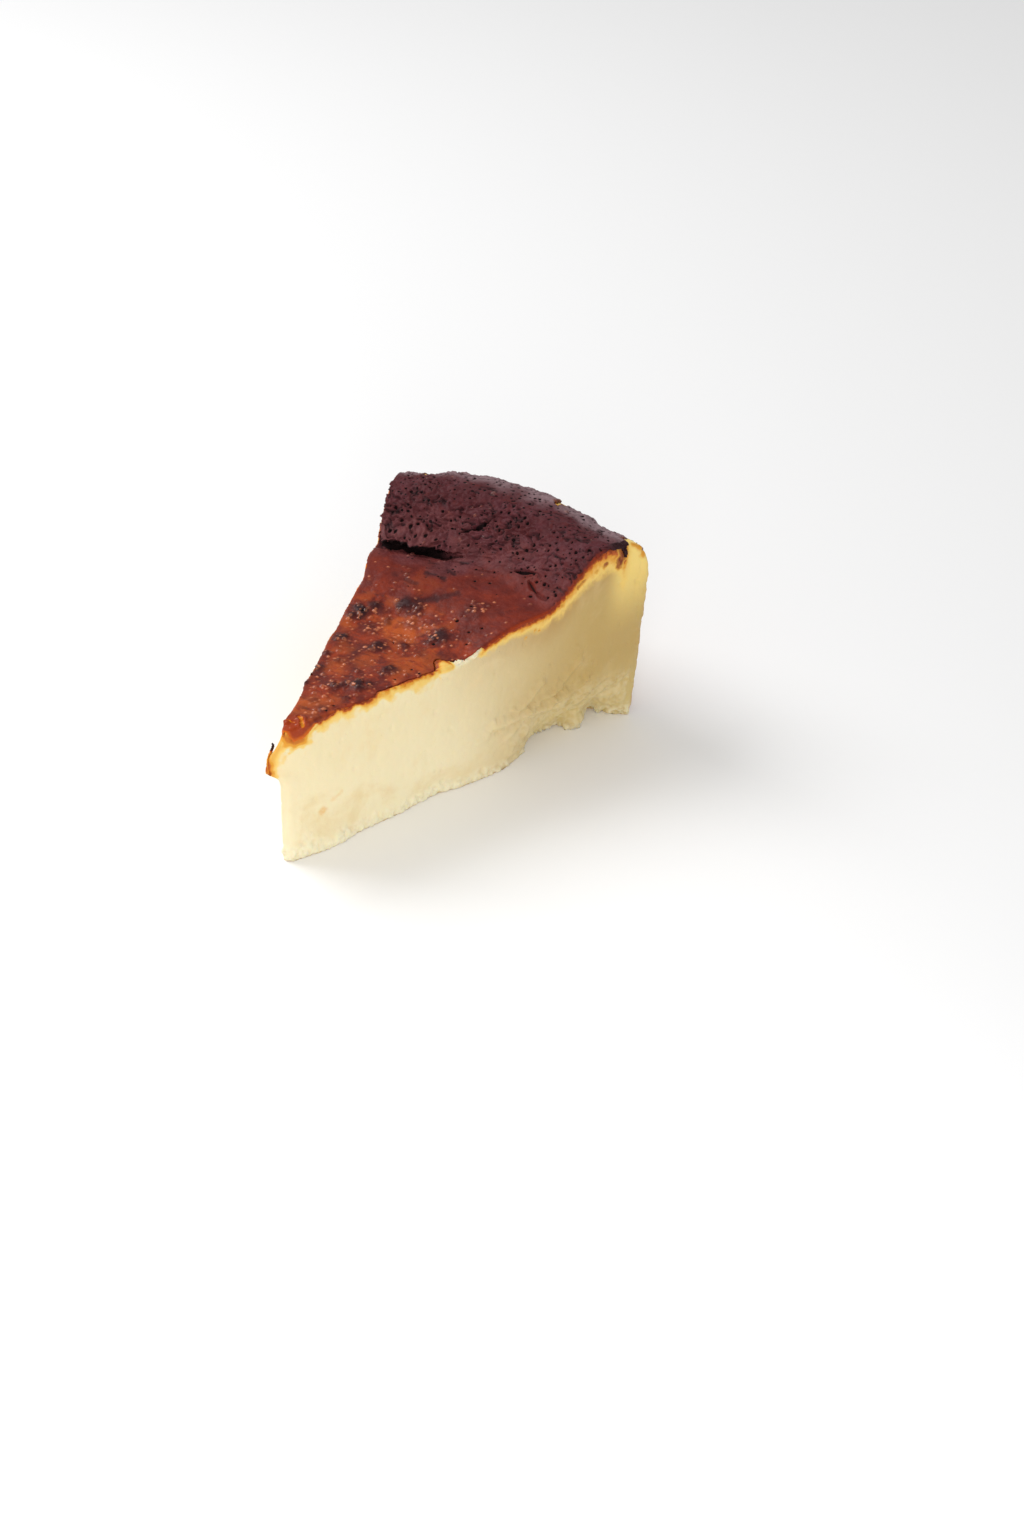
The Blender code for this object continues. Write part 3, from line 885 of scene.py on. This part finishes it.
class NodeBuilder:
    # adds the nodes of one material or group; where is what its patterns are laid out on
    def __init__(self, tree, where=None, tones=None):
        self.tree = tree
        self.where = where
        self.tones = tones

    def fill(self, node, inputs):
        for key, value in inputs.items():
            if isinstance(value, bpy.types.NodeSocket):
                self.tree.links.new(value, node.inputs[key])
            else:
                node.inputs[key].default_value = value

    def add(self, kind, inputs=None, **settings):
        made = self.tree.nodes.new("ShaderNode" + kind)
        for key, value in settings.items():
            setattr(made, key, value)
        self.fill(made, inputs or {})
        return made

    def calculate(self, operation, first, second):
        return self.add("Math", {0: first, 1: second}, operation=operation).outputs[0]

    def times(self, first, second):
        return self.calculate("MULTIPLY", first, second)

    def plus(self, first, second):
        return self.calculate("ADD", first, second)

    def less(self, first, second):
        return self.calculate("SUBTRACT", first, second)

    def remap(self, value, low, high, newLow=0.0, newHigh=1.0):
        inputs = {0: value, 1: low, 2: high, 3: newLow, 4: newHigh}
        return self.add("MapRange", inputs, interpolation_type="SMOOTHSTEP").outputs[0]

    def mask(self, name):
        return self.add("Attribute", attribute_name=name).outputs["Fac"]

    def scaled(self, x, y, z):
        return self.add("Mapping", {"Vector": self.where, "Scale": (x, y, z)}).outputs[0]

    def radius(self):
        # metres from the middle of the whole cake
        x, y = cake["middle"]
        centred = self.add("Mapping", {"Vector": self.where, "Location": (-x * mm, -y * mm, 0)}).outputs[0]
        flat = self.add("VectorMath", {0: centred, 1: (1, 1, 0)}, operation="MULTIPLY").outputs[0]
        return self.add("VectorMath", {0: flat}, operation="LENGTH").outputs["Value"]

    def cloud(self, size, detail=3.0, roughness=0.55):
        # noise with lumps of that size in millimetres
        inputs = {"Vector": self.where, "Scale": 1 / (size * mm), "Detail": detail, "Roughness": roughness}
        return self.add("TexNoise", inputs).outputs["Fac"]

    def patches(self, size, low, high, where=None):
        inputs = {"Vector": where or self.where, "Scale": 1 / (size * mm), "Low": low, "High": high}
        return self.add("Group", inputs, node_tree=mottle).outputs["Mask"]

    def pits(self, size, share, radius):
        inputs = {"Vector": self.where, "Scale": 1 / (size * mm), "Share": share, "Radius": radius}
        return self.add("Group", inputs, node_tree=pinholes).outputs["Mask"]

    def paint(self, base, *layers):
        # lays tones over the base in turn, each through its mask, thinned where a strength is given;
        # a mask is a stored one's name, a value, or a value with the span over which it comes in
        for mask, tone, *strength in layers:
            if isinstance(mask, str):
                mask = self.mask(mask)
            if isinstance(mask, tuple):
                mask = self.remap(*mask)
            for share in strength:
                mask = self.times(mask, share)
            inputs = {0: mask, 6: self.tones.get(base, base), 7: self.tones.get(tone, tone)}
            base = self.add("Mix", inputs, data_type="RGBA").outputs[2]
        return base

    def bump(self, height, distance):
        inputs = {"Height": height, "Strength": 0.5, "Distance": distance * mm}
        return self.add("Bump", inputs).outputs[0]


def newGroup(name, *numbers):
    # makes a mask from a place and a few numbers
    group = bpy.data.node_groups.new(name, "ShaderNodeTree")
    group.interface.new_socket("Vector", in_out="INPUT", socket_type="NodeSocketVector")
    for socket in numbers:
        group.interface.new_socket(socket, in_out="INPUT", socket_type="NodeSocketFloat")
    group.interface.new_socket("Mask", in_out="OUTPUT", socket_type="NodeSocketFloat")
    given = group.nodes.new("NodeGroupInput").outputs
    return group, NodeBuilder(group), given, group.nodes.new("NodeGroupOutput")


def pinholeGroup():
    # round pits of uneven size: Share is how many cells have one
    group, build, given, end = newGroup("pinholes", "Scale", "Share", "Radius")
    inputs = {"Vector": given["Vector"], "Scale": given["Scale"], "Randomness": 0.9}
    cells = build.add("TexVoronoi", inputs, feature="F1")
    parts = build.add("SeparateColor", {"Color": cells.outputs["Color"]})
    here = build.calculate("LESS_THAN", parts.outputs[0], given["Share"])
    size = build.times(given["Radius"], build.remap(parts.outputs[1], 0, 1, 0.5, 1))
    pit = build.remap(build.calculate("DIVIDE", cells.outputs["Distance"], size), 1.0, 0.45)
    build.fill(end, {"Mask": build.times(pit, here)})
    return group


def mottleGroup():
    # soft patches between Low and High of a noise, with Scale in lumps per metre
    group, build, given, end = newGroup("mottle", "Scale", "Low", "High")
    inputs = {"Vector": given["Vector"], "Scale": given["Scale"]}
    inputs |= {"Detail": 4.0, "Roughness": 0.6, "Distortion": 0.4}
    lumps = build.add("TexNoise", inputs).outputs["Fac"]
    build.fill(end, {"Mask": build.remap(lumps, given["Low"], given["High"])})
    return group


def newMaterial(name, tones=None):
    material = bpy.data.materials.new(name)
    material.use_nodes = True
    tree = material.node_tree
    build = NodeBuilder(tree, tree.nodes.new("ShaderNodeTexCoord").outputs["Object"], tones)
    return material, build, tree.nodes["Principled BSDF"]


crustColours = linear(
    amber=(178, 80, 28), rust=(152, 54, 21), maroon=(102, 31, 19), shelf=(110, 34, 22), plum=(88, 39, 45),
    # the nearly black pit tone is painted shade in pits, cracks, furrows and under the lip
    # the pale grey-mauve tone for the rim's edge is a painted sheen, the white sky's glancing reflection
    burnt=(77, 28, 32), worn=(126, 70, 69), ash=(138, 112, 116), char=(46, 16, 20), pit=(18, 7, 8),
    # the pale pinkish orange bubble tone is partly the bubbles' lighter skin, partly a painted highlight
    bubble=(214, 126, 84), edge=(214, 104, 0), gold=(216, 138, 34), tip=(164, 56, 4), wall=(118, 60, 28),
)


def crustMaterial():
    material, build, shader = newMaterial("burntCrust", crustColours)
    wander = build.times(build.cloud(9), 0.014)
    radius = build.less(build.plus(build.radius(), wander), 0.007)
    ring = build.mask("ring")
    glow = build.mask("glow")

    lines = build.patches(1.7, 0.52, 0.72, build.scaled(0.4, 1.5, 1))
    middle = build.paint(
        "maroon",
        (build.patches(6, 0.4, 0.7), "rust"),
        ("amber", "amber"),
        (build.patches(2.6, 0.48, 0.72), "rust"),
        (lines, "char", 0.45),
        ((radius, 0.056, 0.07), "shelf", 0.65),
    )
    # paler mottled patches on the ring, strongest towards the fold
    worn = build.plus(build.times(build.patches(3.2, 0.4, 0.66), 0.4), 0.16)
    outer = build.paint(
        "burnt",
        (build.patches(7, 0.4, 0.64), "plum"),
        (build.patches(1.6, 0.5, 0.7), "maroon", 0.3),
        (worn, "worn", build.remap(radius, 0.098, 0.086)),
        # painted sheen: the rim's outermost band is painted pale grey-mauve
        ((radius, 0.104, 0.1115), "ash"),
    )
    # bubble tops are painted pale pinkish orange: partly their lighter skin, partly a painted highlight
    bubbles = build.times(build.mask("bubble"), build.remap(ring, 0, 1, 0.85, 0.16))
    bubbles = build.times(bubbles, build.remap(build.cloud(2.4), 0.42, 0.66, 0.1, 1))
    # pinholes, and the stored pores, cracks and gap under the lip, are painted nearly black: painted shade in
    # them
    pits = build.times(build.pits(1.5, 0.42, 0.3), build.remap(ring, 0, 1, 0.15, 1))
    allPits = build.calculate("MAXIMUM", pits, build.remap(build.mask("pore"), 0.25, 0.6))
    base = build.paint(
        middle,
        (ring, outer),
        ("char", "char"),
        (bubbles, "bubble"),
        (allPits, "pit", 0.95),
        ("wallFade", "wall"),
        ("tip", "tip"),
        ((glow, 0.2, 0.75), "edge"),
        ((glow, 0.75, 1.0), "gold"),
    )

    rough = build.remap(radius, 0.052, 0.088, 0.42, 0.58)
    rough = build.plus(rough, build.remap(build.cloud(1.6), 0.3, 0.7, -0.08, 0.1))
    rough = build.plus(rough, build.times(allPits, 0.3))
    rough = build.less(rough, build.times(build.mask("bubble"), 0.16))
    coat = build.calculate("MAXIMUM", build.remap(radius, 0.052, 0.066, 0.12, 0.0), build.mask("bubble"))
    wrinkle, fine = build.cloud(1.1, 4, 0.6), build.cloud(0.35, 3, 0.6)
    height = build.plus(build.times(wrinkle, 0.45), build.times(fine, 0.15))
    height = build.less(height, build.times(pits, 0.7))
    inputs = {
        "Base Color": base,
        "Roughness": rough,
        "Coat Weight": build.times(coat, build.remap(ring, 0, 1, 0.42, 0.3)),
        "Coat Roughness": 0.16,
        "Specular IOR Level": 0.18,
        "Normal": build.bump(build.times(height, build.remap(ring, 0, 1, 1.0, 1.9)), 0.6),
    }
    build.fill(shader, inputs)
    return material


custardColours = linear(
    cream=(240, 224, 180), light=(252, 239, 200), warm=(238, 216, 166), deep=(197, 166, 101),
    foot=(226, 208, 146), baked=(178, 130, 62), pale=(242, 204, 110), gold=(226, 156, 42),
    orange=(186, 84, 6), brown=(140, 56, 0), stain=(230, 170, 62), lobe=(255, 223, 130),
    skin=(214, 164, 100), skinHigh=(170, 104, 52), skinDark=(140, 82, 42), torn=(253, 243, 210),
    under=(46, 18, 10),
)


def custardMaterial():
    material, build, shader = newMaterial("bakedCustard", custardColours)
    # towards the rim the cut is painted deeper and browner, also where the crust browns it: partly the firmer
    # bake there, partly painted shade
    outer = build.remap(build.radius(), 0.04, 0.102)
    height = build.add("SeparateXYZ", {0: build.where}).outputs[2]
    # painted bounce light: the cut is painted lighter towards the floor, over the tip half and, more weakly,
    # near the floor towards the rim
    low = build.times(build.remap(height, 0.004, 0.036, 0.75, 0), build.remap(outer, 0, 0.6, 1, 0))
    foot = build.times(build.remap(height, 0.004, 0.026, 0.5, 0), build.remap(outer, 0.5, 0.9))
    inside = build.paint(
        "cream",
        (outer, "deep"),
        ("bake", "baked", outer, 0.85),
        (low, "light"),
        (foot, "foot"),
        (build.patches(14, 0.5, 0.8), "warm", build.remap(outer, 0, 1, 1, 0.3)),
        # the torn tone is partly bare torn cream, partly painted highlight on lumps
        ("torn", "torn", 0.6),
        ("smear", "gold", build.patches(4, 0.45, 0.7), 0.06),
    )
    high = build.plus(height, build.remap(build.cloud(9), 0, 1, -0.012, 0.012))
    creases = build.patches(4, 0.42, 0.75, build.scaled(1, 1, 0.22))
    skin = build.paint(
        "skin",
        ((high, 0.012, 0.058), "skinHigh"),
        (creases, "skinDark", 0.55),
        (build.patches(1.3, 0.5, 0.75), "skinDark", 0.45),
    )
    gold = build.mask("gold")
    uneven = build.remap(build.cloud(1.4, 4), 0.25, 0.75, -0.07, 0.07)
    gold = build.plus(gold, build.times(uneven, build.remap(gold, 0, 0.3)))
    nose = build.mask("noseSkin")
    stain = build.times(build.mask("stain"), build.remap(build.cloud(1.1), 0.3, 0.7, 0.88, 1.1))
    base = build.paint(
        inside,
        ("skin", skin),
        ("lobe", "lobe", 0.9),
        ((gold, 0.05, 0.55), "pale"),
        ((gold, 0.5, 0.84), "gold"),
        ((gold, 0.78, 0.92), "orange"),
        ((gold, 0.9, 1.0), "brown"),
        ((nose, 0.0, 0.45), "pale"),
        ((nose, 0.4, 0.74), "gold"),
        ((nose, 0.8, 1.0), "orange"),
        ((stain, 0.0, 0.5), "stain"),
        ((stain, 0.25, 0.85), "brown"),
        ((stain, 0.7, 1.0), "under"),
        ("under", "under"),
    )

    soft, fine = build.cloud(2.2, 3, 0.5), build.cloud(0.5, 4, 0.6)
    relief = build.plus(build.times(soft, 0.6), build.times(fine, 0.16))
    relief = build.less(relief, build.times(build.pits(2.1, 0.1, 0.22), 0.35))
    inputs = {
        "Base Color": base,
        "Roughness": build.remap(build.cloud(4.0), 0.3, 0.7, 0.48, 0.62),
        "Subsurface Weight": 0.22,
        "Subsurface Radius": (1.0, 0.62, 0.3),
        "Subsurface Scale": 2.5 * mm,
        "Specular IOR Level": 0.35,
        "Normal": build.bump(relief, 0.5),
    }
    build.fill(shader, inputs)
    return material


# floor, lights and camera; the floor and the lights (place, what they face, size, power) are in metres
studio = {
    "camera": (272.775, -392.465, 356.4),
    "right": (0.83659827, 0.54660057, 0.0369),
    "up": (-0.35416928, 0.48819018, 0.7977),
    "lens": 50.0,
    "floorSize": 6,
    "floorTone": (0.985, 0.985, 0.985, 1),
    "sky": 0.57,
    "window": ((-0.7, -0.1, 0.75), (0, 0, 0.03), 0.6, 6.2),
    "fill": ((0.2, -0.26, 0.17), (0.0, -0.05, 0.02), 0.12, 0.34),
}


def makeCamera():
    data = bpy.data.cameras.new("camera")
    data.lens = studio["lens"]
    camera = newObject("camera", data)
    right, up = Vector(studio["right"]).normalized(), Vector(studio["up"]).normalized()
    back = right.cross(up)
    turn = Matrix((right, up, back)).transposed().to_4x4()
    camera.matrix_world = Matrix.Translation(Vector(studio["camera"]) * mm) @ turn
    bpy.context.scene.camera = camera


def addLight(name):
    at, aim, size, power = studio[name]
    data = bpy.data.lights.new(name, "AREA")
    data.energy = power
    data.size = size
    light = newObject(name, data)
    light.location = at
    light.rotation_euler = (Vector(aim) - Vector(at)).to_track_quat("-Z", "Y").to_euler()


def makeStudio():
    bpy.ops.mesh.primitive_plane_add(size=studio["floorSize"], location=(0, 0, 0))
    floor = bpy.context.active_object
    floor.name = "floor"
    material, build, shader = newMaterial("paleFloor")
    build.fill(shader, {"Base Color": studio["floorTone"], "Roughness": 0.6})
    floor.data.materials.append(material)
    world = bpy.data.worlds.new("studio")
    bpy.context.scene.world = world
    world.use_nodes = True
    tree = world.node_tree
    NodeBuilder(tree).fill(tree.nodes["Background"], {"Color": (1, 1, 1, 1), "Strength": studio["sky"]})
    addLight("window")
    addLight("fill")
    bpy.context.scene.view_settings.view_transform = "Standard"


# everything in order

makeCamera()
makeStudio()
print("studio ready")

core = ready(smoothCore())
topHeight = heightMap(core)

mottle, pinholes = mottleGroup(), pinholeGroup()
burntCrust = crustMaterial()
bakedCustard = custardMaterial()

custardPiece = ready(makeCustard(core, topHeight))
custardPiece.data.materials.append(bakedCustard)

capCore = duplicate(core, "capCore")
editAll()
level = (0, 0, crust["lowest"] * mm)
bpy.ops.mesh.bisect(plane_co=level, plane_no=(0, 0, 1), use_fill=True, clear_inner=True)
setMode("OBJECT")
features = crustFeatures(topHeight)
crustPieces = [
    ready(crustSheet(capCore, "middleCrust", topHeight, features, False)),
    ready(crustSheet(capCore, "ringCrust", topHeight, features, True)),
    ready(makeFlake()),
]

for spare in (core, capCore):
    bpy.data.objects.remove(spare)
for piece in (custardPiece, *crustPieces):
    makeActive(piece)
    bpy.ops.object.shade_smooth()
    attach(piece, "root")
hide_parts("cheesecake_slice")
for sheet in crustPieces:
    sheet.data.materials.append(burntCrust)
